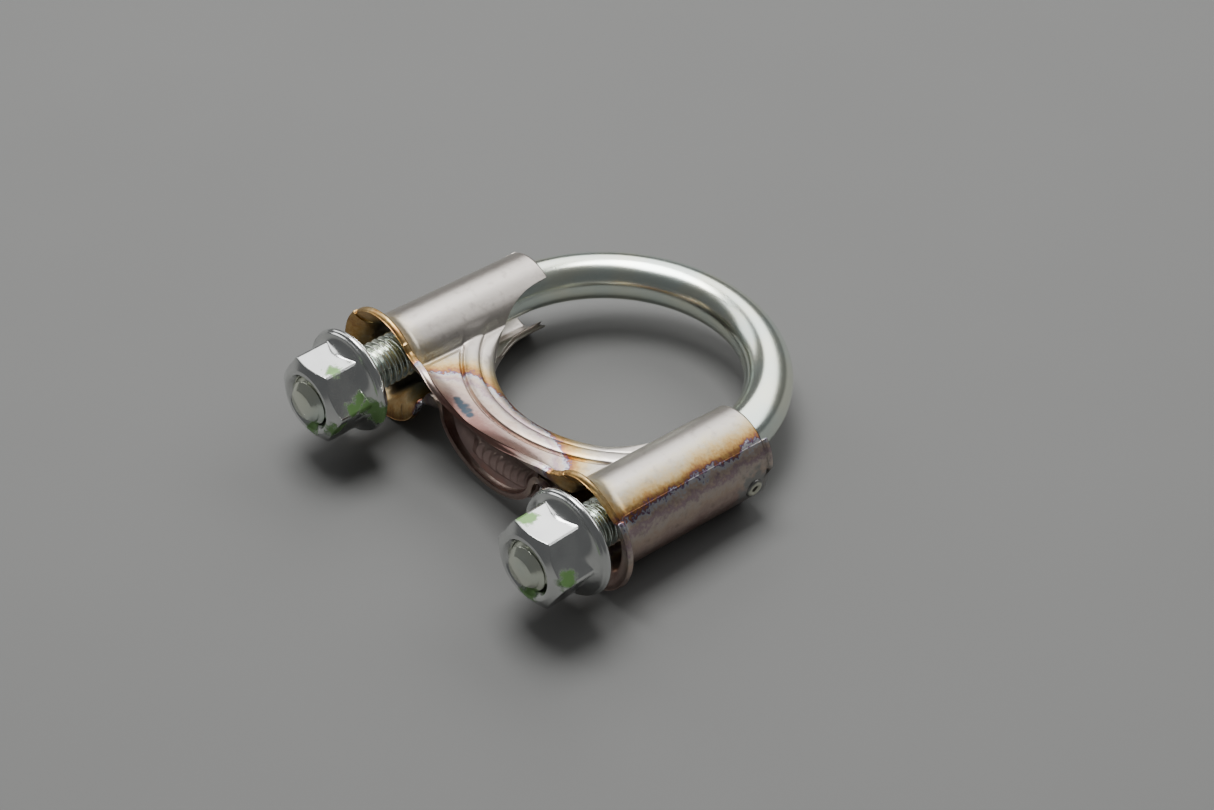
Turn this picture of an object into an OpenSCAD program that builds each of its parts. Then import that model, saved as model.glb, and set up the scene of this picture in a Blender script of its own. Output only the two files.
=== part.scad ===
// Exhaust U-bolt clamp: a bent rod with two threaded legs, a pressed two-shell saddle that
// slides on the legs, the welds that hold the shells together, and two hex flange nuts.
// Frame: millimetres, origin at the centre of the bow's arc at the height of the rod's centre.
// +Z runs along the clamped pipe, the bow is at +Y, and the legs point to -Y.

/* [Rod] */
// Rod and thread diameter
rod_d = 8; // [6:1:10]
// Diameter of the pipe that the bow fits round
pipe_d = 43.5; // [38:0.5:50]
// Length of each straight leg
leg_length = 42.95; // [40:0.05:60]
// Chamfer on each leg's end
leg_chamfer = 1.2; // [0.5:0.1:1.5]

/* [Saddle] */
// Thickness of the pressed sheet
sheet = 1.1; // [0.8:0.1:1.2]
// Outer radius of each sleeve's round top and bottom
sleeve_r = 7.0; // [6.9:0.1:8]
// Height of the sleeve's top arc centre below the rod's centre
sleeve_drop = 1.2; // [0.8:0.1:1.4]
// Straight height between the sleeve's top and bottom arcs
sleeve_straight = 1.6; // [0:0.1:3]
// Bow-side end of the sleeves, along the legs
sleeve_end = 4.7; // [3:0.1:6]
// Where the sleeves start to flare, along the legs
flare_start = -22.5; // [-24:0.1:-20]
// Outer radius of each flared mouth
flange_r = 10.0; // [9:0.1:11]
// Radius of the pipe seat pressed in the saddle
seat_r = 21.45; // [21:0.05:24]
// Centre of the pipe seat, along the legs
seat_y = 3.9; // [2:0.1:5]
// Height of the upper web's top face
web_top = 0.9; // [0:0.1:1.5]
// Height of the lower web's bottom face
web_bottom = -5.3; // [-7:0.1:-4]
// Height of the seam on the outside of the sleeves
seam_height = 3.4; // [0:0.1:4.5]
// Turn of the loose saddle on the legs, in degrees
saddle_turn = -3.0; // [-3:0.5:0]
// Sideways play of the saddle
saddle_shift_x = 0.15; // [0:0.05:0.3]
// Play of the saddle along the legs
saddle_shift_y = -0.43; // [-1:0.01:0]

/* [Nuts] */
// Width across the flats
nut_af = 13; // [12:1:14]
// Outer radius of the nut's flange
nut_flange_r = 8.95; // [8.5:0.05:9.5]
// Bearing face of each nut, along the legs
nut_seat_y = -32.3; // [-34:0.1:-31]
// Full height of each nut
nut_h = 9.6; // [8:0.1:10]
// Radial clearance between the nut and the thread
thread_clearance = 0.05; // [0.02:0.01:0.09]

/* [Hidden] */
$fn = 96;
rod_r = rod_d / 2;
bow_r = (pipe_d + rod_d) / 2;
low_arc_z = -sleeve_drop - sleeve_straight;
split_z = (web_top + web_bottom) / 2;
flare = flange_r - sleeve_r;
lip_y = flare_start - flare - sheet;
flange_z = -1.7;
// The mouths open wider than the sleeves, so that the turned saddle clears the rod
throat_r = 6.3;
far = 60;
// The front of the lower shell hangs in an arc between these two ends
belly_half = 12.35;
belly_sag = 8.65;
belly_tube_r = 1.9;
belly_low_z = -8.5;
belly_r = (belly_half * belly_half + belly_sag * belly_sag) / (2 * belly_sag);
belly_angle = asin(belly_half / belly_r);
belly_y = -24.9;
// Raised step that stiffens the web round the seat
step_in_r = 23.9;
step_out_r = 26.75;
step_h = 0.5;
// How far round the seat its turned-down wall reaches
wall_half_x = 18.6;
zinc = "gainsboro";
zinc_yellow = "lightgoldenrodyellow";
tinted = "rosybrown";
tinted_dark = "dimgray";

// Turns a profile of radius and height into a ring round a leg, with height along +Y
module leg_ring() {
    rotate([-90, 0, 0])
        rotate_extrude()
            children();
}

// ---- rod ----
module bow() {
    rotate_extrude(angle = 180)
        translate([bow_r, 0])
            circle(r = rod_r);
}

module leg(side) {
    translate([side * bow_r, -leg_length, 0])
        leg_ring()
            polygon([[0, 0], [rod_r - leg_chamfer, 0], [rod_r, leg_chamfer],
                     [rod_r, leg_length], [0, leg_length]]);
}

module u_bolt() {
    color(zinc_yellow) {
        bow();
        leg(-1);
        leg(1);
    }
}

// ---- saddle ----
// Places the loose saddle on the legs
module on_legs() {
    translate([saddle_shift_x, saddle_shift_y, 0])
        rotate([0, 0, saddle_turn])
            children();
}

// The sleeve's outline in width and height, moved in by an amount
module sleeve_outline(inset) {
    translate([0, -sleeve_drop])
        circle(r = sleeve_r - inset);
    translate([0, low_arc_z])
        circle(r = sleeve_r - inset);
    translate([inset - sleeve_r, low_arc_z])
        square([2 * (sleeve_r - inset), sleeve_straight]);
}

// The saddle's outline: both sleeves and the web between them
module saddle_outline(inset) {
    for (side = [-1, 1])
        translate([side * bow_r, 0])
            sleeve_outline(inset);
    translate([-bow_r, web_bottom + inset])
        square([2 * bow_r, web_top - web_bottom - 2 * inset]);
}

// Carries a width-and-height outline along the legs, from y0 down to y1
module carried(y0, y1) {
    translate([0, y0, 0])
        rotate([90, 0, 0])
            linear_extrude(y0 - y1)
                children();
}

module pressed_tube() {
    difference() {
        carried(sleeve_end, flare_start)
            saddle_outline(0);
        carried(sleeve_end + 1, flare_start - 1)
            saddle_outline(sheet);
        seat_hole();
    }
}

module seat_hole() {
    translate([0, seat_y, -far / 2])
        cylinder(r = seat_r, h = far);
}

// The wall that the web turns down to make the pipe seat
module seat_wall() {
    intersection() {
        difference() {
            translate([0, seat_y, web_bottom])
                cylinder(r = seat_r + sheet, h = web_top - web_bottom);
            seat_hole();
        }
        translate([-wall_half_x, -far, web_bottom])
            cube([2 * wall_half_x, far, web_top - web_bottom]);
    }
}

// The step pressed in one web: a low ring round the seat
module web_step(z, h) {
    intersection() {
        difference() {
            translate([0, seat_y, z])
                cylinder(r = step_out_r, h = h);
            translate([0, seat_y, z - 1])
                cylinder(r = step_in_r, h = h + 2);
        }
        translate([-wall_half_x, -far, z])
            cube([2 * wall_half_x, far, h]);
    }
}

// The flared mouth of one sleeve, a quarter round of sheet
module flared_mouth(side) {
    translate([side * bow_r, flare_start, flange_z])
        leg_ring()
            intersection() {
                difference() {
                    translate([flange_r, 0])
                        circle(r = flare + sheet);
                    translate([flange_r, 0])
                        circle(r = flare);
                }
                translate([throat_r, -flare - sheet])
                    square([flange_r - throat_r, flare + sheet]);
            }
}

// The open throat of one mouth, which nothing may close
module throat(side) {
    translate([side * bow_r, flare_start, flange_z])
        leg_ring()
            difference() {
                translate([0, -far])
                    square([flange_r, far + 1]);
                translate([flange_r, 0])
                    circle(r = flare + sheet / 2);
            }
}

// Front strip of one web, from the sleeves' flare to the saddle's front edge
module web_front(z) {
    difference() {
        translate([-bow_r + flange_r, lip_y + sheet / 2, z])
            cube([2 * (bow_r - flange_r), flare_start - lip_y + 0.5, sheet]);
        throat(-1);
        throat(1);
    }
}

// Everything above the seam: the top of the sleeves and the upper web
module above_seam() {
    translate([-bow_r, -far, split_z])
        cube([2 * bow_r, 2 * far, far]);
    translate([-far, -far, seam_height])
        cube([2 * far, 2 * far, far]);
}

module saddle_upper_shell() {
    color(tinted)
        on_legs() {
            intersection() {
                union() {
                    pressed_tube();
                    seat_wall();
                    flared_mouth(-1);
                    flared_mouth(1);
                }
                above_seam();
            }
            web_front(web_top - sheet);
            web_step(web_top, step_h);
        }
}

// The rolled belly of the lower shell's front edge
module belly() {
    translate([0, belly_y, belly_low_z + belly_r])
        rotate([90, 0, 0])
            rotate([0, 0, -90 - belly_angle])
                rotate_extrude(angle = 2 * belly_angle)
                    translate([belly_r, 0])
                        circle(r = belly_tube_r);
}

// The area between the belly's arc and a level line
module belly_lens(top_z) {
    intersection() {
        translate([0, belly_low_z + belly_r])
            circle(r = belly_r);
        translate([-belly_half, belly_low_z - 1])
            square([2 * belly_half, top_z - belly_low_z + 1]);
    }
}

module saddle_lower_shell() {
    color(tinted)
        on_legs() {
            difference() {
                union() {
                    pressed_tube();
                    seat_wall();
                    flared_mouth(-1);
                    flared_mouth(1);
                }
                above_seam();
            }
            web_front(web_bottom);
            difference() {
                union() {
                    belly();
                    carried(belly_y + sheet, belly_y)
                        belly_lens(web_bottom + sheet);
                }
                translate([-far, -far, web_top - sheet])
                    cube([2 * far, 2 * far, far]);
                throat(-1);
                throat(1);
            }
        }
}

// The bead that closes the front between the two shells
module front_weld() {
    color(tinted_dark)
        on_legs()
            difference() {
                carried(belly_y + sheet, belly_y - 0.9)
                    belly_lens(web_top - sheet);
                belly();
                translate([-far, belly_y - 0.01, -far])
                    cube([2 * far, far, web_bottom + sheet + far]);
                throat(-1);
                throat(1);
            }
}

// The small ring left by a weld on the outside of the +X sleeve
module spot_weld() {
    color(tinted_dark)
        on_legs()
            translate([bow_r + sleeve_r - 0.55, 2.3, low_arc_z - 1.0])
                rotate([0, 90, 0])
                    difference() {
                        cylinder(r = 1.6, h = 0.9);
                        translate([0, 0, 0.6])
                            cylinder(r = 0.7, h = 1);
                    }
}

// ---- nuts ----
nut_corner_r = nut_af / sqrt(3);
nut_bore_r = rod_r + thread_clearance;
nut_face_r = 5.6;
nut_mouth_r = 4.7;
nut_rim_h = 1.3;
nut_cone_r = 6.4;
nut_cone_h = 4.1;

// Outline of the flange: a rounded rim that sweeps up to the hexagon in a hollow curve
module nut_flange_outline() {
    difference() {
        translate([nut_bore_r, 0])
            square([nut_flange_r - nut_bore_r, nut_cone_h]);
        translate([nut_flange_r + 0.35, nut_cone_h + 0.35])
            circle(r = nut_flange_r + 0.35 - nut_cone_r);
        translate([nut_flange_r - 0.3, nut_rim_h])
            square([1, nut_cone_h]);
    }
}

module nut_blank() {
    intersection() {
        cylinder(r = nut_corner_r, h = nut_h, $fn = 6);
        rotate_extrude()
            polygon([[0, 0], [nut_corner_r + 0.1, 0], [nut_corner_r + 0.1, nut_h - 1.25],
                     [nut_face_r, nut_h], [0, nut_h]]);
    }
}

module flange_nut(side) {
    color(zinc)
        translate([side * bow_r, nut_seat_y, 0])
            rotate([90, 0, 0])
                difference() {
                    union() {
                        nut_blank();
                        rotate_extrude()
                            nut_flange_outline();
                    }
                    translate([0, 0, -1])
                        cylinder(r = nut_bore_r, h = nut_h + 2);
                    translate([0, 0, nut_h - 0.7])
                        cylinder(r1 = nut_bore_r, r2 = nut_mouth_r + 0.01, h = 0.71);
                }
}

module flange_nut_left() {
    flange_nut(-1);
}

module flange_nut_right() {
    flange_nut(1);
}

u_bolt();
saddle_upper_shell();
saddle_lower_shell();
front_weld();
spot_weld();
flange_nut_left();
flange_nut_right();
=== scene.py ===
# %% [markdown]
# # A U-bolt exhaust clamp, made as a lesson in Blender
#
# The object is a clamp for an exhaust pipe: a rod bent to a U, a pressed saddle that slides on its
# two legs, and a flange nut on each leg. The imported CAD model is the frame. It says where each part
# is and what moves, and this script makes the surfaces that are seen. Every length below is in
# millimetres, because that is how the parts are made, and `build` turns it into metres.

import math

import bpy
import numpy as np
from mathutils import Matrix, Vector


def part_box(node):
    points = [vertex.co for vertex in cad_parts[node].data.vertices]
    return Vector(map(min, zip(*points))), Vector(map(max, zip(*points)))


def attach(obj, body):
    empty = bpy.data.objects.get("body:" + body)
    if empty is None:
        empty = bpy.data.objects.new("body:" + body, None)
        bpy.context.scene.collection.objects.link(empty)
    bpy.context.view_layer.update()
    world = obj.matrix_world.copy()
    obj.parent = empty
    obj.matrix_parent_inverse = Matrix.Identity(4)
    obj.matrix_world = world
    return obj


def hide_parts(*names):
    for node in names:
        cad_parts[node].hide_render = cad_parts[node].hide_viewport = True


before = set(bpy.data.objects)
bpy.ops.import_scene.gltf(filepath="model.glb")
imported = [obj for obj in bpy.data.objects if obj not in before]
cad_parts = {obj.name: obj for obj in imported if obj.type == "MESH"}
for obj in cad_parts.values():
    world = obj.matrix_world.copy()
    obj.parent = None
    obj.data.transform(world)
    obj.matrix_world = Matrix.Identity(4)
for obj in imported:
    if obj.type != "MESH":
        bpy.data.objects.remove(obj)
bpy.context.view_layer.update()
print("nodes:", sorted(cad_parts))

# %% [markdown]
# ## Sizes from the frame
#
# The rod's radius, the bow's radius, the legs' ends and the nuts' places are read from the CAD
# nodes, so a change there moves the surfaces too. The saddle's sizes are its own few driving
# dimensions. The saddle is loose on the legs and lies a little turned on them, so its surfaces are
# worked out square and then turned by `to_row`. The rod and the nuts' flanges stay inside the CAD
# ones by SKIN.

# %% Sizes
MM = 0.001
UP = np.array([0, 0, 1.0])


def mm_box(node):
    """The lowest and highest corner of a CAD node, in millimetres."""
    low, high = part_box(node)
    return np.array(low) / MM, np.array(high) / MM


rod_low, rod_high = mm_box("u_bolt")
ROD_R = (rod_high[2] - rod_low[2]) / 2
BOW_R = rod_high[0] - ROD_R
TIP_Y = rod_low[1]
nut_low, nut_high = mm_box("flange_nut_right")
NUT_SEAT_Y = nut_high[1]
NUT_H = nut_high[1] - nut_low[1]
SKIN = 0.01
NUT_FLANGE_R = (nut_high[2] - nut_low[2]) / 2 - SKIN
print(f"rod radius {ROD_R:.2f}, bow radius {BOW_R:.2f}, leg tip {TIP_Y:.2f}, nut height {NUT_H:.2f}")

# The saddle: its sheet, the sleeves that run on the legs, their flared mouths, the seat for the
# pipe and the heights of the two webs between the sleeves.
SHEET = 1.1
SLEEVE_R = 7.0
SLEEVE_TOP_Z = -1.2
SLEEVE_LOW_Z = -2.8
SLEEVE_END = 4.7
FLARE_START = -22.5
FLARE_LENGTH = 3.0
FLANGE_R = 9.86
FLANGE_Z = -1.7
SEAT_R = 21.45
SEAT_Y = 3.9
WEB_TOP = 0.9
WEB_LOW = -5.3
SEAM_ANGLE = math.radians(42)
SADDLE_TURN = math.radians(-3.0)
SADDLE_SHIFT = np.array([0.15, -0.43, 0.0])


def turn_about_z(angle):
    """The matrix that turns a point about Z by an angle in radians."""
    c, s = math.cos(angle), math.sin(angle)
    return np.array([[c, -s, 0], [s, c, 0], [0, 0, 1]])


def to_row(points):
    """Turns the saddle's own millimetres about Z by its angle on the legs and adds its play."""
    return points @ turn_about_z(SADDLE_TURN).T + SADDLE_SHIFT


def to_saddle(points):
    """The way back from `to_row`: takes the play off and turns the points square again."""
    return (points - SADDLE_SHIFT) @ turn_about_z(-SADDLE_TURN).T


# %% [markdown]
# ## From a grid of points to a closed piece
#
# Each piece starts as a grid: rows and columns of points worked out by a formula. Neighbouring
# points make the faces. A grid that closes on itself both ways is already a solid, like a ring. A
# pressed sheet is an open grid, so it is given its thickness here: a second grid lies one sheet's
# thickness behind the first, and a slightly rounded edge joins the two all the way round. Doing it
# by formula, and not with a Solidify modifier, gives every edge of the sheet the same rounding.

# %% Mesh helpers
def smoothstep(x, low, high):
    """0 below low, 1 above high, and 3t^2 - 2t^3 between them, where t goes from 0 to 1."""
    t = np.clip((np.asarray(x, float) - low) / (high - low), 0, 1)
    return t * t * (3 - 2 * t)


def smooth_max(a, b, k):
    """The larger of a and b, with the corner between them rounded over a width of k."""
    h = np.clip(0.5 + 0.5 * (a - b) / k, 0, 1)
    return b + (a - b) * h + k * h * (1 - h)


def quads(index):
    """The four corners of each cell of a grid of vertex numbers."""
    return np.stack([index[:-1, :-1], index[:-1, 1:], index[1:, 1:], index[1:, :-1]], -1).reshape(-1, 4)


def closed(index, rows=False, columns=True):
    """The grid with its first row or column repeated at the end, so that the cells close the ring."""
    if columns:
        index = np.concatenate([index, index[:, :1]], 1)
    if rows:
        index = np.concatenate([index, index[:1]], 0)
    return index


def build(name, points, faces):
    """A mesh object from points in millimetres and faces of three or four corners."""
    mesh = bpy.data.meshes.new(name)
    mesh.from_pydata((np.asarray(points) * MM).tolist(), [], [list(map(int, f)) for f in faces])
    mesh.shade_smooth()
    mesh.validate()
    piece = bpy.data.objects.new(name, mesh)
    bpy.context.scene.collection.objects.link(piece)
    print(f"{name}: {len(mesh.vertices)} points, {len(mesh.polygons)} faces")
    return piece


def grid_normals(points):
    """Unit normals of a grid: the cross product of its slopes along the columns and down the rows."""
    across = np.gradient(points, axis=1)
    down = np.gradient(points, axis=0)
    normal = np.cross(across, down)
    return normal / np.maximum(np.linalg.norm(normal, axis=2, keepdims=True), 1e-12)


def pressed_sheet(outer, thickness, flip=False):
    """A closed sheet from its outer face, a grid of rows and columns of points.

    The inner face is the outer one moved back along its normals by the thickness. All round the
    border one more ring of points stands out by an eighth of the thickness, at a fifth and four
    fifths of the depth, which rounds the edge. Returns the points and the faces."""
    rows, columns = outer.shape[:2]
    normal = grid_normals(outer) * (-1 if flip else 1)
    for _ in range(3):
        normal[1:-1] = (normal[:-2] + 2 * normal[1:-1] + normal[2:]) / 4
        normal[:, 1:-1] = (normal[:, :-2] + 2 * normal[:, 1:-1] + normal[:, 2:]) / 4
    normal /= np.linalg.norm(normal, axis=2, keepdims=True)
    inner = outer - normal * thickness
    out_index = np.arange(rows * columns).reshape(rows, columns)
    in_index = out_index + rows * columns
    ring = np.concatenate([out_index[0, :-1], out_index[:-1, -1], out_index[-1, :0:-1], out_index[:0:-1, 0]])
    flat_out, flat_in = outer.reshape(-1, 3), inner.reshape(-1, 3)
    edge = flat_out[ring]
    along = np.roll(edge, -1, 0) - np.roll(edge, 1, 0)
    side = np.cross(along, normal.reshape(-1, 3)[ring])
    side /= np.maximum(np.linalg.norm(side, axis=1, keepdims=True), 1e-12)
    back = np.concatenate([outer[1, :-1], outer[:-1, -2], outer[-2, :0:-1], outer[:0:-1, 1]])
    side *= np.sign(((edge - back) * side).sum(1, keepdims=True))
    bulge = side * thickness / 8
    near = edge + (flat_in[ring] - edge) * 0.2 + bulge
    far = edge + (flat_in[ring] - edge) * 0.8 + bulge
    count = len(ring)
    near_index = 2 * rows * columns + np.arange(count)
    strip = closed(np.stack([ring, near_index, near_index + count, ring + rows * columns]))
    faces = [quads(out_index), quads(in_index)[:, ::-1], quads(strip)]
    if flip:
        faces = [f[:, ::-1] for f in faces]
    points = np.concatenate([flat_out, flat_in, near, far])
    return points, np.concatenate(faces)


print("mesh helpers ready")

# %% [markdown]
# ## The rod
#
# The real rod is drawn wire, bent cold, with a thread rolled on each leg. It is one surface: a
# circle carried along the path of the two legs and the bow. On the legs the circle's radius follows
# the thread's profile. Because the profile is read at height minus a share of the turn, the ridges
# run round as a right-hand screw and need no modelling of their own.

# %% Rod
PITCH = 1.25
THREAD_DEPTH = 0.72
CREST_SHARE = 0.14
FLANK_SHARE = 0.62
THREAD_END_Y = TIP_Y + 26.5
RUN_OUT = 0.9
CREST_DROP = 0.03
TIP_FACE_R = ROD_R - 1.5
ROUND = 72


def thread_depth(height, turn):
    """How deep the thread is at a height along the leg and an angle round it.

    The phase is height over pitch minus turn over a full circle. The profile is a triangle wave
    with its crest cut flat for CREST_SHARE of the pitch. The two flanks take FLANK_SHARE of it, and
    the flat root has what is left."""
    phase = np.mod(height / PITCH - turn / (2 * np.pi), 1)
    from_crest = np.abs(phase - 0.5) * 2
    return THREAD_DEPTH * np.clip((from_crest - CREST_SHARE) / FLANK_SHARE, 0, 1)


def rod_stations():
    """Centre line of the rod, and the direction outwards from the bow at each of its points.

    It runs from the left tip, round the bow, to the right tip. There are 14 points to each turn of
    the thread."""
    leg_y = np.concatenate([
        np.linspace(TIP_Y, THREAD_END_Y + 1, int((THREAD_END_Y + 1 - TIP_Y) / PITCH * 14)),
        np.linspace(THREAD_END_Y + 1.5, 0, 12)[:-1]])
    angle = np.linspace(np.pi, 0, 120)
    bow = np.stack([np.cos(angle), np.sin(angle), 0 * angle], 1)
    left = np.stack([-BOW_R + 0 * leg_y, leg_y, 0 * leg_y], 1)
    right = (left * [-1, 1, 1])[::-1]
    out_left = np.tile([-1.0, 0, 0], (len(leg_y), 1))
    return (np.concatenate([left, BOW_R * bow, right]),
            np.concatenate([out_left, bow, -out_left]))


def rod_surface():
    """Points of the rod: centre + radius * (cos a * outward + sin a * up), with the thread taken off.

    Near the tip the radius is held under a 45 degree cone, which cuts the thread's end off. The
    thread fades out over RUN_OUT on both sides of its end, and its crests lie CREST_DROP under the
    plain rod."""
    centre, outward = rod_stations()
    a = np.linspace(0, 2 * np.pi, ROUND, endpoint=False)
    side = np.sign(centre[:, 0:1] + 1e-9)
    turn = np.arctan2(np.cos(a)[None] * side, np.sin(a)[None])
    height = centre[:, 1:2]
    fade = np.where(height > 0, 0, 1 - smoothstep(height, THREAD_END_Y - RUN_OUT, THREAD_END_Y + RUN_OUT))
    radius = ROD_R - SKIN - thread_depth(height, turn) * fade
    radius = np.minimum(radius, TIP_FACE_R + (height - TIP_Y))
    radius = np.where(fade > 0.5, radius - CREST_DROP, radius)
    return (centre[:, None] + radius[..., None] * (np.cos(a)[None, :, None] * outward[:, None]
                                                   + np.sin(a)[None, :, None] * UP))


def make_rod():
    """The rod as one closed surface, with a fan of triangles over each tip."""
    grid = rod_surface()
    rows = len(grid)
    index = np.arange(rows * ROUND).reshape(rows, ROUND)
    faces = quads(closed(index)).tolist()
    points = grid.reshape(-1, 3)
    for row, last in ((0, False), (rows - 1, True)):
        hub = len(points)
        points = np.concatenate([points, grid[row].mean(0, keepdims=True)])
        ring = np.append(index[row], index[row][0])
        fan = np.stack([ring[:-1], ring[1:], np.full(ROUND, hub)], 1)
        faces += (fan if last else fan[:, ::-1]).tolist()
    return build("rod", points, faces)


rod = make_rod()
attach(rod, "bolt")
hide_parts("u_bolt")

# %% [markdown]
# ## The flange nuts
#
# A flange nut is forged in one piece: six flats that run down into a round flange in a hollow
# curve, with the corners at the front turned off at about 30 degrees. A ring of profile points is
# carried round the axis. On the side, each point's radius is the smaller of the hexagon and the
# chamfer's cone, and then the larger of that and the flange's hollow curve. That gives the curved
# edges of a real nut.

# %% Nuts
NUT_AF = 13.0
NUT_BORE_R = ROD_R + 0.05
NUT_AROUND = 288
EDGE_R = 0.6
HOLLOW_R = 2.9
HOLLOW_CENTRE = (9.3, 4.45)
CHAMFER_FACE_R = 5.5
CHAMFER_SLOPE = 1.62
# Radius and depth of the rings across the front face and down the countersink.
NUT_FACE = ((5.2, 0.0), (4.95, 0.0), (4.85, 0.04), (4.78, 0.12), (4.3, 0.6), (4.22, 0.75),
            (NUT_BORE_R, 0.95))


def hexagon(turn):
    """Radius of a hexagon with corners at 0, 60 and 120 degrees: half its flats over cos(from the flat).

    Each corner is rounded a little."""
    from_flat = np.mod(turn, np.pi / 3) - np.pi / 6
    flat = NUT_AF / 2 / np.cos(from_flat)
    return -smooth_max(-flat, -(NUT_AF / math.sqrt(3) - 0.12), 0.1)


def nut_side(turn, height):
    """Radius of the hexagon at a height, held inside the chamfer's cone at the front."""
    cone = CHAMFER_FACE_R + (NUT_H - 0.02 - height) * CHAMFER_SLOPE
    return -smooth_max(-hexagon(turn), -cone, 0.16)


def nut_profile():
    """The nut's surface as a closed loop of rings: radius and height for each ring and each angle.

    The loop goes out across the bearing face, round the flange's edge, up its hollow curve and the
    flats, in over the front face and back down the bore."""
    turn = np.linspace(0, 2 * np.pi, NUT_AROUND, endpoint=False)
    one = np.ones_like(turn)
    rings = []
    for r, h in ((NUT_BORE_R + 0.5, 0.0), (6.2, 0.0), (8.2, 0.03), (8.55, 0.08)):
        rings.append((r * one, h * one))
    for a in np.linspace(-80, 70, 11):
        a = math.radians(a)
        r = NUT_FLANGE_R - EDGE_R + EDGE_R * math.cos(a)
        rings.append((r * one, (0.72 + 0.62 * math.sin(a)) * one))
    for a in np.linspace(14, 90, 22):
        a = math.radians(a)
        r = HOLLOW_CENTRE[0] - HOLLOW_R * math.sin(a)
        h = HOLLOW_CENTRE[1] - HOLLOW_R * math.cos(a)
        rings.append((smooth_max(r * one, nut_side(turn, h), 0.14), h * one))
    for h in np.concatenate([np.linspace(4.6, 7.4, 10), np.linspace(7.5, NUT_H - 0.06, 34)]):
        rings.append((nut_side(turn, h), h * one))
    face_r = nut_side(turn, NUT_H - 0.06)
    rings.append((face_r - 0.08, (NUT_H - 0.015) * one))
    for r, depth in NUT_FACE:
        rings.append((r * one, (NUT_H - depth) * one))
    for h in np.linspace(NUT_H - 1.4, 0.5, 12):
        rings.append((NUT_BORE_R * one, h * one))
    radius, height = (np.array(part) for part in zip(*rings))
    return turn, radius, height


def make_nut(side, name):
    """The nut on one leg: angle round the leg, radius and height along -Y from its bearing face."""
    turn, radius, height = nut_profile()
    x = side * BOW_R + radius * np.cos(turn)
    z = radius * np.sin(turn)
    grid = np.stack([x, NUT_SEAT_Y - height, z], -1)
    index = np.arange(grid.shape[0] * grid.shape[1]).reshape(grid.shape[:2])
    nut = build(name, grid.reshape(-1, 3), quads(closed(index, rows=True)))
    return nut


nuts = {}
for side, word in ((-1, "left"), (1, "right")):
    nuts[word] = make_nut(side, f"{word}_nut")
    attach(nuts[word], f"{word}_nut")
    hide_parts(f"flange_nut_{word}")

# %% [markdown]
# ## The upper shell of the saddle
#
# The saddle is pressed from stainless sheet. Its upper shell makes the top of both sleeves, the web
# between them with its raised bead round the seat, the flared mouths at the nuts' end and the
# seat's turned-down wall. One grid covers all of it. A column runs from the flared lip, along the
# legs, to the bow's end of a sleeve or to the edge of the seat. The columns over the seat are spaced
# by the angle round the pipe, so the last row lies exactly on the seat's circle.

# %% Saddle outline helpers
ROLL_R = 2.2
ROLL_DROP = 1.35
# The second column lies this close to the first, in radians, so that the seam's edge stays crisp.
CRISP = 0.006
SLEEVE_COLUMNS = 32
SEAT_COLUMNS = 104
CUT_ANGLE = math.acos((BOW_R - SEAT_R) / SLEEVE_R)
CUT_ANGLE_DEG = math.degrees(CUT_ANGLE)
# For the columns over the seat, psi is the angle round the pipe from the side that faces the nuts.
# It falls from a quarter turn, beside the pipe, to 0 in the middle. Roll is the radius of the seat's
# rolled edge, which fades out before the sleeves.
psi = np.linspace(np.pi / 2, 0, SEAT_COLUMNS)[1:]
roll = ROLL_R * (1 - smoothstep(np.degrees(psi), 40, 62))
seat_x = (SEAT_R + roll) * np.sin(psi)
seat_end = SEAT_Y - (SEAT_R + roll) * np.cos(psi)


def both_sides(values, odd=False):
    """A row of column values for the right half, followed by its mirror image for the left half."""
    return np.concatenate([values, (-1 if odd else 1) * values[-2::-1]])


def lip_wave(x):
    """Height of the upper shell's front lip between the legs.

    It is lowest a little left of the middle and rises as distance^1.5 on both sides, twice as
    steeply on the left, and levels off at 4 mm."""
    away = x + 3.5
    rise = np.where(away < 0, 0.105, 0.054) * np.abs(away) ** 1.5
    return 0.8 - smooth_max(-rise, -3.2 + 0 * x, 1.0)


def web_press(x, y):
    """Height that the press raises the upper web by at a place, from its distance to the pipe's axis.

    There is a fine groove at the seat's rolled edge, then a rounded bead 3 mm wide, then a sharp
    groove with a low ledge beyond it. A groove is exp(-t^2) of the distance from its middle, and the
    bead is a half circle flattened. All of it fades out where the web runs into a sleeve."""
    r = np.hypot(x, y - SEAT_Y)
    bead = 0.5 * np.sqrt(np.clip(1 - ((r - 25.3) / 1.5) ** 2, 0, 1))
    grooves = 0.14 * np.exp(-((r - 23.75) / 0.18) ** 2) + 0.34 * np.exp(-((r - 26.85) / 0.22) ** 2)
    ledge = 0.2 * smoothstep(r, 26.7, 27.4)
    fade = 1 - smoothstep(np.abs(x), 18.8, 20.4)
    near = 1 - smoothstep(np.abs(x), 17.8, 18.8)
    return bead * fade - grooves * near + ledge * near


def rolled_edge(last, x, end_y, roll_r, down):
    """Rows that carry the seat's edge on: round a quarter ellipse and then straight along the wall.

    The quarter ellipse goes sin t * roll inwards and 1 - cos t times its drop down, or up where down
    is -1. The wall goes on from there to the middle height between the webs. A few thousandths keep
    the rows apart over the sleeves, where the roll is 0."""
    inward = np.stack([-x, SEAT_Y - end_y, 0 * x], 1)
    inward /= np.linalg.norm(inward, axis=1, keepdims=True)
    rows = []
    for t in np.radians(np.linspace(0, 90, 8)[1:]):
        drop = roll_r * ROLL_DROP / ROLL_R * (1 - math.cos(t)) + 0.002 * t
        rows.append(last + inward * (roll_r * math.sin(t))[:, None] - down * UP * drop[:, None])
    edge = rows[-1]
    wall = (down * (edge[:, 2] - (WEB_TOP + WEB_LOW) / 2) - 0.05) * roll_r / ROLL_R
    for t in np.linspace(0, 1, 6)[1:]:
        rows.append(edge - down * UP * (wall * t + 0.004 * t)[:, None])
    return rows


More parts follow.
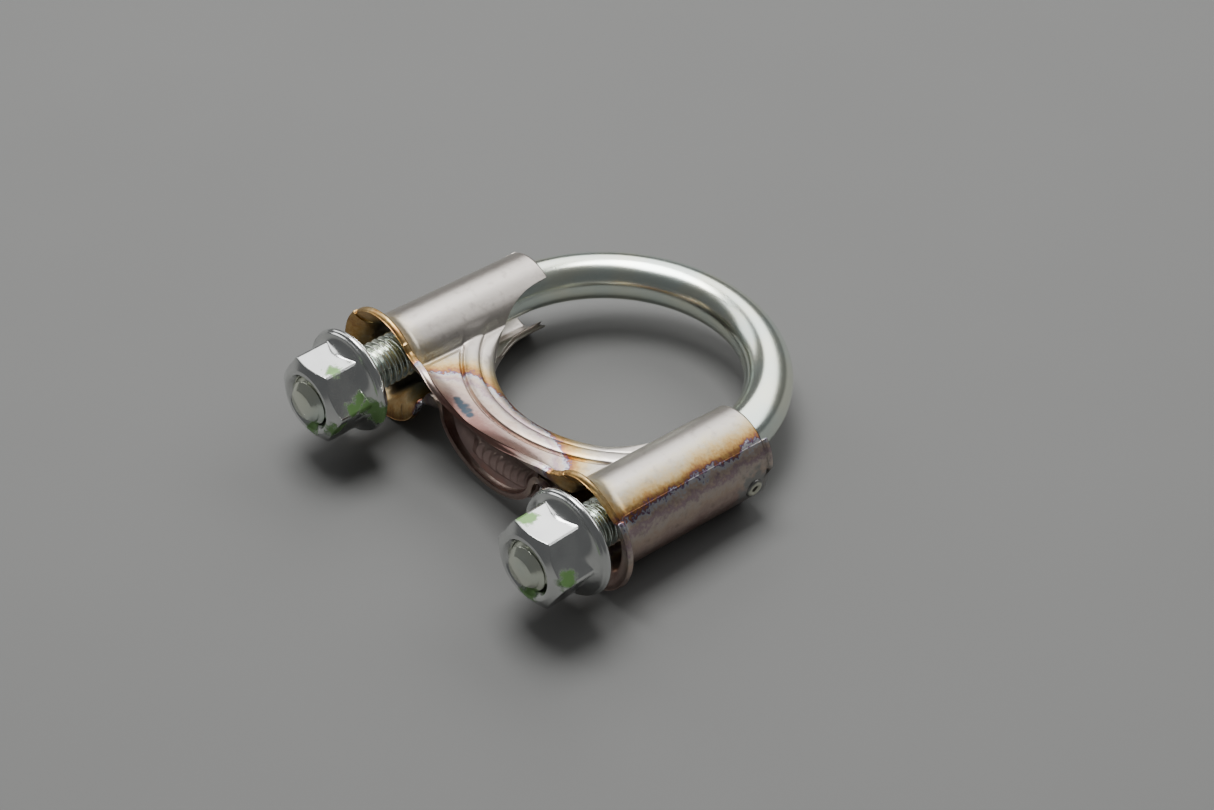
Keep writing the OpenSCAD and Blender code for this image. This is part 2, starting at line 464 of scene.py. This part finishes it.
print(f"the sleeves are cut by the seat's circle from {CUT_ANGLE_DEG:.1f} degrees inwards")

# %% Upper shell
def flare_step(part, round_share):
    """How far forward and how far out a flare has gone, after a part of it from 0 to 1.

    A deep flare is a quarter ellipse, sin t forward and 1 - cos t out. A shallow one is a parabola,
    because a flat ellipse would end in a kink. The share says how much of the ellipse to use."""
    t = part * np.pi / 2
    ahead = round_share * math.sin(t) + (1 - round_share) * part
    out = round_share * (1 - math.cos(t)) + (1 - round_share) * part ** 2
    return ahead, out


def upper_grid():
    """Rows of points from the front lip back to the bow end, then down the seat's wall.

    The flare opens forward and outward, the body runs straight along the legs, and the seat's edge
    rolls over a quarter ellipse and goes straight down. The lip is the mouths' circles joined by
    lip_wave, with a shallow dent in the right mouth's upper right."""
    a = np.linspace(SEAM_ANGLE, np.pi - CUT_ANGLE, SLEEVE_COLUMNS)
    a[1] = a[0] + CRISP
    right_x = np.concatenate([BOW_R + SLEEVE_R * np.cos(a), seat_x])
    lip_x = seat_x * (BOW_R - FLANGE_R * math.cos(CUT_ANGLE)) / SEAT_R
    ring_x = np.concatenate([BOW_R + FLANGE_R * np.cos(a), lip_x])
    ring_z = FLANGE_Z + np.sqrt(np.clip(FLANGE_R ** 2 - (lip_x - BOW_R) ** 2, 0, None))
    lip_z = np.concatenate([FLANGE_Z + FLANGE_R * np.sin(a), ring_z])
    end_y = np.concatenate([np.full(SLEEVE_COLUMNS, SLEEVE_END), seat_end])
    roll_r = np.concatenate([np.zeros(SLEEVE_COLUMNS), roll])
    forward = FLARE_LENGTH + 1.05 * (1 - smoothstep(np.abs(right_x), 12, 19))
    x, end_y, roll_r = both_sides(right_x, True), both_sides(end_y), both_sides(roll_r)
    ring_x, lip_z, forward = both_sides(ring_x, True), both_sides(lip_z), both_sides(forward)
    lip_z = smooth_max(lip_z, lip_wave(ring_x) - 1.5 * np.clip(np.abs(ring_x) - 18.5, 0, None), 1.6)
    bearing = np.degrees(np.arctan2(lip_z - FLANGE_Z, ring_x - BOW_R))
    dent = 1.2 * np.exp(-((bearing - 60) / 32) ** 2) * (x > 12)
    ring_x = ring_x - dent * np.cos(np.radians(bearing))
    lip_z = lip_z - dent * np.sin(np.radians(bearing))
    sleeve_z = SLEEVE_TOP_Z + np.sqrt(np.clip(SLEEVE_R ** 2 - (np.abs(x) - BOW_R) ** 2, 0, None))
    base = np.where(np.abs(x) > SEAT_R, sleeve_z, smooth_max(sleeve_z, WEB_TOP + 0 * x, 1.0))
    rows = []
    round_share = smoothstep(np.hypot(lip_z - base, ring_x - x), 1.5, 5.0)
    for part in np.linspace(1, 0, 44)[:-1]:
        ahead, out = flare_step(part, round_share)
        across, y = x + (ring_x - x) * out, FLARE_START - forward * ahead
        rows.append(np.stack([across, y, base + (lip_z - base) * out + web_press(across, y)], 1))
    for t in np.linspace(0, 1, 96):
        y = FLARE_START + (end_y - FLARE_START) * t
        rows.append(np.stack([x, y, base + web_press(x, y)], 1))
    return np.stack(rows + rolled_edge(rows[-1], x, end_y, roll_r, 1))


def sheet_piece(name, grid, replaced, flip=False):
    """Makes one pressed shell from its grid, turns it into place and lets it ride on the saddle."""
    points, faces = pressed_sheet(grid, SHEET, flip)
    piece = build(name, to_row(points), faces)
    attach(piece, "saddle")
    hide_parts(replaced)
    return piece


upper = sheet_piece("upper_shell", upper_grid(), "saddle_upper_shell", flip=True)

# %% [markdown]
# ## The lower shell
#
# The lower shell goes round the outside and the underside of both sleeves, and its web closes the
# saddle from below. Along the front it is drawn down into a belly between the legs, so that from the
# nuts' end its lip reads like a W: a round mouth, a pinch, the belly, a pinch and a round mouth. The
# lip is laid out as one curve, and the columns are shared out along it by its length, so that no
# column is stretched where the curve runs steeply.

# %% Lower shell
BELLY_HALF = 12.1
BELLY_TOP_Z = -1.5
BELLY_DEEP = 8.8
PINCH_X = 13.75
PINCH_Z = -3.45
PINCH_HALF = 2.15
PINCH_HIGH = 2.3


def lower_lip(share):
    """The right half of the W from the sleeve to the middle: x and z at a share of its length.

    It is the end of the mouth's circle, a half ellipse over the pinch and a quarter ellipse for the
    belly. Averaging neighbours a few times rounds the places where they meet."""
    ring = np.radians(np.linspace(CUT_ANGLE_DEG - 180, -170, 40))
    cap = np.radians(np.linspace(4, 176, 60))
    belly = np.radians(np.linspace(16, 90, 120))
    x = np.concatenate([BOW_R + FLANGE_R * np.cos(ring),
                        PINCH_X + PINCH_HALF * np.cos(cap),
                        BELLY_HALF * np.cos(belly)])
    z = np.concatenate([FLANGE_Z + FLANGE_R * np.sin(ring),
                        PINCH_Z + PINCH_HIGH * np.sin(cap),
                        BELLY_TOP_Z - BELLY_DEEP * np.sin(belly)])
    length = np.concatenate([[0], np.cumsum(np.hypot(np.diff(x), np.diff(z)))])
    even = np.linspace(0, length[-1], 300)
    x, z = np.interp(even, length, x), np.interp(even, length, z)
    for _ in range(60):
        x[1:-1] = (x[:-2] + 2 * x[1:-1] + x[2:]) / 4
        z[1:-1] = (z[:-2] + 2 * z[1:-1] + z[2:]) / 4
    return np.interp(share, np.linspace(0, 1, 300), x), np.interp(share, np.linspace(0, 1, 300), z)


def belly_height(x):
    """Height of the belly's rim under a place x between the pinches."""
    return BELLY_TOP_Z - BELLY_DEEP * np.sqrt(np.clip(1 - (x / BELLY_HALF) ** 2, 0, 1))


def lower_grid():
    """Rows of points from the front lip back to the bow end, then up the seat's wall.

    Columns run from the seam down the outside of the right sleeve, along a short straight, round
    its underside and then over the web, to the middle and on to the left sleeve in mirror image."""
    top = np.linspace(SEAM_ANGLE, 0, 12)
    top[1] = top[0] - CRISP
    low = np.linspace(0, CUT_ANGLE - np.pi, 40)
    angle = np.concatenate([np.maximum(top, 0.06), np.minimum(low, -0.06)])
    inner_lift = 2.3 * smoothstep(-np.degrees(low), 80, 128)
    arc_x = BOW_R + SLEEVE_R * np.concatenate([np.cos(top), np.cos(low)])
    arc_z = np.concatenate([SLEEVE_TOP_Z + SLEEVE_R * np.sin(top),
                            SLEEVE_LOW_Z + SLEEVE_R * np.sin(low) + inner_lift])
    lip_x, lip_z = lower_lip(1 - seat_x / SEAT_R)
    x = both_sides(np.concatenate([arc_x, seat_x]), True)
    ring_x = both_sides(np.concatenate([BOW_R + FLANGE_R * np.cos(angle), lip_x]), True)
    ring_z = both_sides(np.concatenate([FLANGE_Z + FLANGE_R * np.sin(angle), lip_z]))
    under_sleeve = np.sqrt(np.clip(SLEEVE_R ** 2 - (seat_x - BOW_R) ** 2, 0, None))
    sleeve_seat = SLEEVE_LOW_Z - under_sleeve + inner_lift[-1]
    web = -smooth_max(-sleeve_seat, -WEB_LOW + 0 * seat_x, 0.5)
    body = both_sides(np.concatenate([arc_z, web]))
    end_y = both_sides(np.concatenate([np.full(len(arc_x), SLEEVE_END), seat_end]))
    roll_r = both_sides(np.concatenate([np.zeros(len(arc_x)), roll]))
    rows = []
    mouth = smoothstep(np.abs(ring_x), 11.0, 15.5)

    def lower_row(y, part):
        """One row: a quarter ellipse out to a mouth, and a long smooth step down to the belly."""
        out = mouth * (1 - math.cos(part * np.pi / 2)) + (1 - mouth) * smoothstep(-y, 17.8, 25.3)
        return np.stack([x + (ring_x - x) * out, y, body + (ring_z - body) * out], 1)

    for part in np.linspace(1, 0, 30)[:-1]:
        ahead = mouth * math.sin(part * np.pi / 2) + (1 - mouth) * part
        rows.append(lower_row(FLARE_START - FLARE_LENGTH * ahead, part))
    for t in np.linspace(0, 1, 70):
        rows.append(lower_row(FLARE_START + (end_y - FLARE_START) * t, 0.0))
    return np.stack(rows + rolled_edge(rows[-1], x, end_y, roll_r, -1))


lower = sheet_piece("lower_shell", lower_grid(), "saddle_lower_shell")

# %% [markdown]
# ## The welds
#
# A bead of weld closes the front between the two shells. The front is a shallow hollow, and the bead
# lies in its lower half as a row of overlapping crescents, one for each time the molten pool froze.
# On the outside of the right sleeve a spot weld has left a small crater with a raised rim.

# %% Welds
FRONT_THICK = 0.7
CRESCENT_PITCH = 1.75
BEAD_HALF = 1.7
BEAD_HIGH = 0.8
RIPPLE = 0.26


def front_surface():
    """The hollow between the two lips, with the bead laid over it.

    From rim to rim the depth is about half a sine wave. The bead's section is half an ellipse, and
    its ripples are a cosine of the distance along the bead, bent into crescents by the distance
    across it. The bead runs along the middle and right of the front."""
    x = np.linspace(-11.7, 12.4, 220)
    v = np.linspace(0, 1, 64)[:, None]
    low_z = belly_height(x) + 0.7 * smoothstep(BELLY_HALF - np.abs(x), 0, 3)
    high_z = -smooth_max(1.0 - lip_wave(x), -0.4 - 0.1 * (lip_wave(x) - 0.9), 0.2)
    z = low_z + (high_z - low_z) * v
    ends = smoothstep(12.6 - np.abs(x), 0.2, 3)
    y = -25.0 + 1.7 * ends * np.sin(np.pi * np.clip(v, 0, 1)) ** 0.8
    across = (z - (low_z + 0.36 * (high_z - low_z))) / BEAD_HALF
    along = smoothstep(x, -5.4, -3.4) * (1 - smoothstep(x, 8.6, 10.2))
    inside = np.clip(1 - across ** 2, 0, 1)
    bead = BEAD_HIGH * np.sqrt(inside) * along
    ripple = RIPPLE * np.cos(2 * np.pi * (x / CRESCENT_PITCH - 0.42 * across ** 2)) * inside * along
    y = y - bead - ripple
    return np.stack([x + 0 * z, y, z], -1)


def ring_solid(name, profile, count, centre, axis):
    """A solid made by turning a profile of radius and height about an axis, with both ends on the axis."""
    turn = np.linspace(0, 2 * np.pi, count, endpoint=False)
    axis = np.array(axis, float) / np.linalg.norm(axis)
    side = np.cross(axis, [0, 1.0, 0])
    side /= np.linalg.norm(side)
    other = np.cross(axis, side)
    radius, height = np.array(profile, float).T
    spokes = np.cos(turn)[:, None] * side + np.sin(turn)[:, None] * other
    grid = centre + radius[1:-1, None, None] * spokes + height[1:-1, None, None] * axis
    points = np.concatenate([grid.reshape(-1, 3), [centre + height[0] * axis], [centre + height[-1] * axis]])
    index = np.arange(grid.shape[0] * count).reshape(-1, count)
    ring = closed(index)
    first, last = len(points) - 2, len(points) - 1
    faces = quads(ring)[:, ::-1].tolist()
    faces += np.stack([ring[0, :-1], ring[0, 1:], np.full(count, first)], 1).tolist()
    faces += np.stack([ring[-1, 1:], ring[-1, :-1], np.full(count, last)], 1).tolist()
    piece = build(name, to_row(points), faces)
    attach(piece, "saddle")
    return piece


front_points, front_faces = pressed_sheet(front_surface(), FRONT_THICK)
front = build("front_weld_bead", to_row(front_points), front_faces)
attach(front, "saddle")
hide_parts("front_weld")

SPOT_ANGLE = math.radians(-9)
spot_axis = (math.cos(SPOT_ANGLE), 0, math.sin(SPOT_ANGLE))
spot_centre = np.array([BOW_R + SLEEVE_R * spot_axis[0], 2.2, SLEEVE_LOW_Z + SLEEVE_R * spot_axis[2]])
# Radius and height of the spot's rings: the crater's floor, the raised rim and the buried underside.
SPOT = ((0, 0.02), (0.35, 0.03), (0.6, 0.1), (0.8, 0.27), (1.0, 0.34), (1.2, 0.3), (1.45, 0.14),
        (1.7, -0.02), (1.75, -0.3), (0.9, -0.5), (0, -0.5))
spot = ring_solid("spot_weld_ring", SPOT, 64, spot_centre, spot_axis)
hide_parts("spot_weld")

# %% [markdown]
# ## Temper colours
#
# Stainless steel that has been hot wears thin oxide films. Their colour depends only on how hot the
# place became: straw, then brown, purple, blue and at last a pale grey. So the saddle's colours
# need one number at each point, the distance from the nearest seam of weld, and one ramp of colours.

# %% Heat
SEAM_HEAT = 8.9
RIM_HEAT = 10.2
COLD = 99
# FRONT_FOOT_Z and FRONT_HEIGHT scale the front's rise, which sets the painted shade under the upper lip.
FRONT_FOOT_Z = -10.2
FRONT_HEIGHT = 10.5


def segment_distance(points, a, b):
    """Distance from each point to the straight line between a and b."""
    a, b = np.array(a, float), np.array(b, float)
    t = np.clip((points - a) @ (b - a) / ((b - a) @ (b - a)), 0, 1)
    return np.linalg.norm(points - a - t[:, None] * (b - a), axis=1)


def read_points(piece):
    """The piece's points in millimetres, as they lie in the row's frame."""
    flat = np.empty(len(piece.data.vertices) * 3, np.float32)
    piece.data.vertices.foreach_get("co", flat)
    return flat.reshape(-1, 3).astype(float) / MM


def write_values(piece, name, values):
    """Stores one number for each point of a piece, as a point attribute that a material can read."""
    layer = piece.data.attributes.new(name, "FLOAT", "POINT")
    layer.data.foreach_set("value", values.astype(np.float32))


def side_seam_distance(own):
    """SEAM_HEAT at the right sleeve's seam, more above it and less below it, down to 2.5.

    It changes by the distance round the sleeve, SLEEVE_R times the angle from the seam. Far round
    the underside it rises again, so that the colour there fades smoothly."""
    above = (np.arctan2(own[:, 2] - SLEEVE_TOP_Z, own[:, 0] - BOW_R) - SEAM_ANGLE) * SLEEVE_R
    above = above - 0.04 * (own[:, 1] + 22)
    side = np.maximum(SEAM_HEAT + np.where(above > 0, above, above * 0.7), 2.5)
    side = side + 1.5 * np.clip(-13 - above, 0, None)
    return np.where(own[:, 0] > 17, side, COLD)


def write_heat(piece):
    """Stores how far each point is from the heat, in millimetres, as the attribute heat_distance.

    The nearest of three counts: the seam across the front, the right sleeve's seam and the rims of
    the two mouths, which have turned straw."""
    own = to_saddle(read_points(piece))
    front_seam = segment_distance(own * (1, 1, 0.35), (-8.5, -26.5, 0), (8.0, -26.5, 0))
    rims = np.where(np.abs(own[:, 0]) > 14, RIM_HEAT + 0.9 * (own[:, 1] + 25.5), COLD)
    near = np.minimum(np.minimum(front_seam, side_seam_distance(own)), np.maximum(rims, 9.6))
    write_values(piece, "heat_distance", near)
    print(f"{piece.name}: {near.min():.1f} to {np.minimum(near, 60).max():.1f} mm from a weld")


for piece in (upper, lower, front, spot):
    write_heat(piece)
# rise goes from 0 at the belly's rim to 1 under the upper lip, and the front weld's material paints shade by
# it.
write_values(front, "rise", (read_points(front)[:, 2] - FRONT_FOOT_Z) / FRONT_HEIGHT)

# %% [markdown]
# ## Materials
#
# Every finish is worked out from place alone, so it looks the same from all sides. `Value` wraps a
# shader socket so that sums and products of noise can be written as plain arithmetic.

# %% Shader arithmetic
class Value:
    """A shader socket that can be added, subtracted, multiplied and divided."""

    def __init__(self, tree, socket):
        """Remembers the socket and the node tree that it belongs to."""
        self.tree, self.socket = tree, socket

    def node(self, kind, settings=None, values=None, output=0):
        """Adds a node, sets its settings and then its inputs, and returns one of its outputs."""
        node = self.tree.nodes.new(kind)
        for key, setting in (settings or {}).items():
            setattr(node, key, setting)
        for key, value in (values or {}).items():
            if isinstance(value, Value):
                self.tree.links.new(value.socket, node.inputs[key])
            else:
                node.inputs[key].default_value = value
        return Value(self.tree, node.outputs[output])

    def maths(self, operation, a, b):
        """One Math node that works on two numbers or values."""
        return self.node("ShaderNodeMath", {"operation": operation}, {0: a, 1: b})

    def __add__(self, other):
        return self.maths("ADD", self, other)

    __radd__ = __add__

    def __mul__(self, other):
        return self.maths("MULTIPLY", self, other)

    __rmul__ = __mul__

    def __sub__(self, other):
        return self.maths("SUBTRACT", self, other)

    def __rsub__(self, other):
        return self.maths("SUBTRACT", other, self)

    def __truediv__(self, other):
        return self.maths("DIVIDE", self, other)

    def step(self, low, high):
        """0 at low, 1 at high and a smooth rise between them."""
        return self.node("ShaderNodeMapRange", {"interpolation_type": "SMOOTHSTEP"},
                         {"Value": self, "From Min": low, "From Max": high})


def new_material(name, metallic, roughness):
    """A material, its shader node and its object coordinates in metres."""
    material = bpy.data.materials.new(name)
    material.use_nodes = True
    tree = material.node_tree
    shader = tree.nodes["Principled BSDF"]
    shader.inputs["Metallic"].default_value = metallic
    shader.inputs["Roughness"].default_value = roughness
    place = Value(tree, tree.nodes.new("ShaderNodeTexCoord").outputs["Object"])
    return material, shader, place


def feed(shader, name, value):
    """Links a varying value to one of the shader's inputs."""
    value.tree.links.new(value.socket, shader.inputs[name])


def noise(place, size_mm, detail=2.0):
    """Noise from 0 to 1 whose lumps are about size_mm across."""
    inputs = {"Vector": place, "Scale": 1000 / size_mm, "Detail": detail}
    return place.node("ShaderNodeTexNoise", None, inputs)


def mix_colour(place, share, a, b):
    """A colour share of the way from a to b."""
    return place.node("ShaderNodeMix", {"data_type": "RGBA"}, {"Factor": share, 6: a, 7: b}, 2)


def rgb(red, green, blue):
    """An opaque colour."""
    return (red, green, blue, 1.0)


def bump(shader, height, strength, distance_mm):
    """Tilts the surface's normals as if the height, from 0 to 1, stood up by distance_mm."""
    relief = {"Strength": strength, "Distance": distance_mm * MM, "Height": height}
    feed(shader, "Normal", height.node("ShaderNodeBump", None, relief))


def distance_to(place, x, y, z):
    """Distance in metres from each place to one point, which is given in millimetres."""
    point = (x * MM, y * MM, z * MM)
    return place.node("ShaderNodeVectorMath", {"operation": "DISTANCE"}, {0: place, 1: point}, 1)


def spots(place, centres, rag=1.6):
    """1 inside any of the balls given as (x, y, z, radius) in millimetres, with a ragged soft edge."""
    ragged = noise(place, 1.1, 3.0)
    total = None
    for x, y, z, radius in centres:
        away = distance_to(place, x, y, z) * (1000 / radius)
        inside = 1.0 - (away + (ragged - 0.5) * rag).step(0.5, 1.1)
        total = inside if total is None else place.maths("MAXIMUM", total, inside)
    return total


print("shader arithmetic ready")

# %% [markdown]
# ## The finishes of this clamp
#
# The rod and the nuts are zinc plated, and the nuts carry dabs of green marking paint. The saddle
# is stainless sheet in its temper colours. A patch is a list of balls, and each ball has a place
# and a radius in millimetres.

# %% Finishes
def zinc_rod():
    """Bright zinc with a faint yellow and green film and a fine drawn grain."""
    material, shader, place = new_material("zinc_rod", 1.0, 0.2)
    film = noise(place, 9.0, 2.0)
    zinc = mix_colour(place, film.step(0.35, 0.65), rgb(0.82, 0.85, 0.72), rgb(0.72, 0.80, 0.74))
    feed(shader, "Base Color", zinc)
    grain = noise(place, 0.35, 3.0)
    feed(shader, "Roughness", 0.14 + 0.1 * grain + 0.06 * film)
    bump(shader, grain, 0.04, 0.05)
    return material


def zinc_nut(name, dabs):
    """Silver zinc over forged flats, with a few dabs of green marking paint."""
    material, shader, place = new_material(name, 1.0, 0.25)
    grain = noise(place, 0.3, 3.0)
    cloud = noise(place, 5.0, 2.0)
    metal = mix_colour(place, cloud.step(0.3, 0.7), rgb(0.76, 0.77, 0.75), rgb(0.66, 0.67, 0.66))
    paint = spots(place, dabs)
    feed(shader, "Base Color", mix_colour(place, paint * 0.85, metal, rgb(0.10, 0.30, 0.02)))
    feed(shader, "Metallic", 1.0 - 0.6 * paint)
    feed(shader, "Roughness", 0.13 + 0.12 * grain + 0.12 * paint)
    bump(shader, grain, 0.06, 0.05)
    return material


# The temper colours from the weld outwards, as shares of TEMPER_SPAN millimetres.
TEMPER_SPAN = 16.0
TEMPER = (
    (0.00, (0.24, 0.13, 0.11)), (0.09, (0.28, 0.16, 0.14)), (0.16, (0.36, 0.25, 0.22)),
    (0.24, (0.43, 0.33, 0.29)), (0.30, (0.50, 0.39, 0.32)), (0.37, (0.53, 0.46, 0.41)),
    (0.42, (0.38, 0.28, 0.31)), (0.47, (0.54, 0.43, 0.35)), (0.51, (0.50, 0.51, 0.55)),
    (0.53, (0.16, 0.10, 0.18)), (0.55, (0.32, 0.14, 0.07)), (0.60, (0.48, 0.29, 0.10)),
    (0.67, (0.60, 0.45, 0.23)), (0.77, (0.56, 0.50, 0.39)), (0.88, (0.53, 0.49, 0.45)))
# A dark blue film along the front lip, and the grey of bare steel round the spot weld.
TEAL_DABS = (
    (-9.6, -24.4, 0.9, 0.9), (-8.7, -24.65, 0.9, 1.2), (-7.6, -24.9, 0.9, 1.3),
    (-6.5, -25.1, 0.9, 1.2), (-5.5, -25.3, 0.9, 0.9))
GREY_DABS = ((32.4, 0.2, -3.6, 4.4), (31.6, 2.6, -6.0, 4.2))


def tempered(name, roughness, darken):
    """Stainless sheet coloured by its distance from the weld, along the ramp of temper colours."""
    material, shader, place = new_material(name, 1.0, roughness)
    heat = place.node("ShaderNodeAttribute", {"attribute_name": "heat_distance"}, None, 2)
    wander = (noise(place, 3.2, 4.0) - 0.5) * 3.4 + (noise(place, 0.5, 3.0) - 0.5) * 2.2
    ramp = place.node("ShaderNodeValToRGB", None, {"Fac": (heat + wander) / TEMPER_SPAN})
    stops = ramp.socket.node.color_ramp
    while len(stops.elements) < len(TEMPER):
        stops.elements.new(0.5)
    for stop, (at, colour) in zip(stops.elements, TEMPER):
        stop.position = at
        stop.color = (*colour, 1)
    blue = spots(place, TEAL_DABS, 0.8)
    film = mix_colour(place, blue * 0.9, ramp, rgb(0.02, 0.05, 0.07))
    film = mix_colour(place, spots(place, GREY_DABS) * 0.8, film, rgb(0.26, 0.28, 0.28))
    soot = noise(place, 1.4, 4.0)
    feed(shader, "Base Color", mix_colour(place, soot.step(0.52, 0.8) * darken, film, rgb(0.16, 0.12, 0.11)))
    feed(shader, "Roughness", roughness + 0.16 * (noise(place, 0.5, 3.0) - 0.35) + 0.12 * soot)
    bump(shader, noise(place, 0.7, 4.0) + noise(place, 6.0, 1.0) * 3.0, 0.14, 0.12)
    return material


def front_weld_and_painted_shade():
    """Weld metal from copper pink at the belly's rim, with painted shade darkening it to brown under the
    upper lip.
    """
    material, shader, place = new_material("front_weld_and_painted_shade", 1.0, 0.4)
    rise = place.node("ShaderNodeAttribute", {"attribute_name": "rise"}, None, 2)
    height = rise + (noise(place, 1.6, 4.0) - 0.5) * 0.22
    low = mix_colour(place, height.step(0.05, 0.3), rgb(0.66, 0.38, 0.32), rgb(0.52, 0.38, 0.35))
    # The dark brown towards the top is painted shade, where the upper lip shades the hollow.
    colour = mix_colour(place, height.step(0.35, 0.72), low, rgb(0.22, 0.16, 0.14))
    feed(shader, "Base Color", colour)
    feed(shader, "Roughness", 0.3 + 0.25 * noise(place, 0.8, 3.0))
    bump(shader, noise(place, 0.6, 4.0), 0.2, 0.12)
    return material


def spot_weld_metal():
    """A pale greenish rim round a dark crater."""
    material, shader, place = new_material("spot_weld_metal", 1.0, 0.4)
    x, y, z = to_row((spot_centre + 0.1 * np.array(spot_axis))[None])[0]
    ragged = distance_to(place, x, y, z) * 1000 + (noise(place, 0.8, 3.0) - 0.5) * 0.5
    inner = mix_colour(place, ragged.step(0.45, 0.75), rgb(0.05, 0.045, 0.035), rgb(0.62, 0.62, 0.52))
    feed(shader, "Base Color", mix_colour(place, ragged.step(1.2, 1.5), inner, rgb(0.22, 0.22, 0.21)))
    return material


def plain_floor():
    """Pale matt board with a barely visible unevenness."""
    material, shader, place = new_material("floor_board", 0.0, 0.75)
    shade = noise(place, 60.0, 3.0)
    feed(shader, "Base Color", mix_colour(place, shade, rgb(0.145, 0.146, 0.142), rgb(0.16, 0.161, 0.157)))
    return material


# The green dabs on each nut.
LEFT_DABS = (
    (-19.4, -36.6, 1.6, 1.6), (-18.9, -38.2, 0.8, 1.7), (-18.3, -35.6, 0.2, 1.8),
    (-17.6, -34.4, -0.8, 2.2), (-17.4, -33.4, -2.6, 2.4), (-24.8, -41.4, -4.6, 1.8),
    (-19.9, -40.6, -2.6, 2.2), (-23.0, -38.6, 6.4, 1.5))
RIGHT_DABS = ((22.9, -39.0, 6.5, 1.9), (32.5, -39.6, 1.1, 1.9), (26.6, -41.5, -4.4, 1.9))

rod_finish = zinc_rod()
sheet_finish = tempered("tempered_sheet", 0.27, 0.35)
front_finish = front_weld_and_painted_shade()
spot_finish = spot_weld_metal()
finishes = {
    rod: rod_finish,
    upper: sheet_finish,
    lower: sheet_finish,
    front: front_finish,
    spot: spot_finish,
    nuts["left"]: zinc_nut("zinc_nut_left", LEFT_DABS),
    nuts["right"]: zinc_nut("zinc_nut_right", RIGHT_DABS),
}
print("finishes:", sorted({finish.name for finish in finishes.values()}))

# %% [markdown]
# ## The floor, the light and the camera
#
# Set down on a table, the clamp rests on the rims of its two mouths and on the bow's end of its
# sleeves. The mouths are wider than the sleeves, so the table slopes by a few degrees in the
# clamp's own frame.

# %% Floor
FLOOR_SIZE = 3000
MOUTHS_Y = -25.6
FLOOR_Z_AT_MOUTHS = -11.74
FLOOR_SLOPE = 0.058


def make_floor():
    """A large square just under the clamp: z = height at the mouths + slope * (y - the mouths' y)."""
    corner = np.array([[-1.0, -1, 0], [1, -1, 0], [1, 1, 0], [-1, 1, 0]]) * FLOOR_SIZE / 2
    corner[:, 2] = FLOOR_Z_AT_MOUTHS + (corner[:, 1] - MOUTHS_Y) * FLOOR_SLOPE
    plane = build("floor", corner, [[0, 1, 2, 3]])
    return plane


floor = make_floor()
finishes[floor] = plain_floor()
for piece, finish in finishes.items():
    piece.data.materials.clear()
    piece.data.materials.append(finish)
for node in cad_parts.values():
    node.data.materials.clear()
    node.data.materials.append(sheet_finish if "saddle" in node.name or "weld" in node.name else rod_finish)

# %% [markdown]
# Two soft panels above and behind give the long highlights on the rod and the nuts' flats. A weak
# one from the left opens the shadows. The camera looks down from the right nut's side. Its turn is
# built from two directions, the one to its right and the one back towards the viewer.

# %% Light and camera
def area_light(name, place, size, watts):
    """A soft white rectangular lamp that faces the clamp from a place given in metres."""
    lamp = bpy.data.lights.new(name, "AREA")
    lamp.shape = "RECTANGLE"
    lamp.size, lamp.size_y = size
    lamp.energy = watts
    holder = bpy.data.objects.new(name, lamp)
    holder.location = place
    holder.rotation_euler = (-Vector(place)).to_track_quat("-Z", "Y").to_euler()
    bpy.context.scene.collection.objects.link(holder)


area_light("top_panel", (-0.22, 0.05, 0.8), (0.45, 0.45), 8.5)
area_light("back_panel", (-0.12, 0.75, 0.78), (1.8, 0.6), 9.5)
area_light("left_panel", (-0.8, -0.1, 0.5), (0.4, 0.6), 1.6)

world = bpy.data.worlds.new("studio")
bpy.context.scene.world = world
world.use_nodes = True
world.node_tree.nodes["Background"].inputs["Color"].default_value = (0.5, 0.51, 0.52, 1)
world.node_tree.nodes["Background"].inputs["Strength"].default_value = 0.22

lens = bpy.data.cameras.new("camera")
lens.lens = 79.52
lens.sensor_width = 36
camera = bpy.data.objects.new("camera", lens)
bpy.context.scene.collection.objects.link(camera)
camera_right = Vector((0.68848, 0.72455, 0.03195)).normalized()
camera_back = Vector((0.54612, -0.54691, 0.63455)).normalized()
camera_up = camera_back.cross(camera_right).normalized()
turn = Matrix((camera_up.cross(camera_back), camera_up, camera_back)).transposed()
camera.matrix_world = Matrix.Translation((0.23951, -0.24017, 0.27115)) @ turn.to_4x4()
bpy.context.scene.camera = camera
camera_away = camera.matrix_world.translation.length / MM
print(f"camera {camera_away:.0f} mm from the bow's centre, lens {lens.lens:.1f} mm")
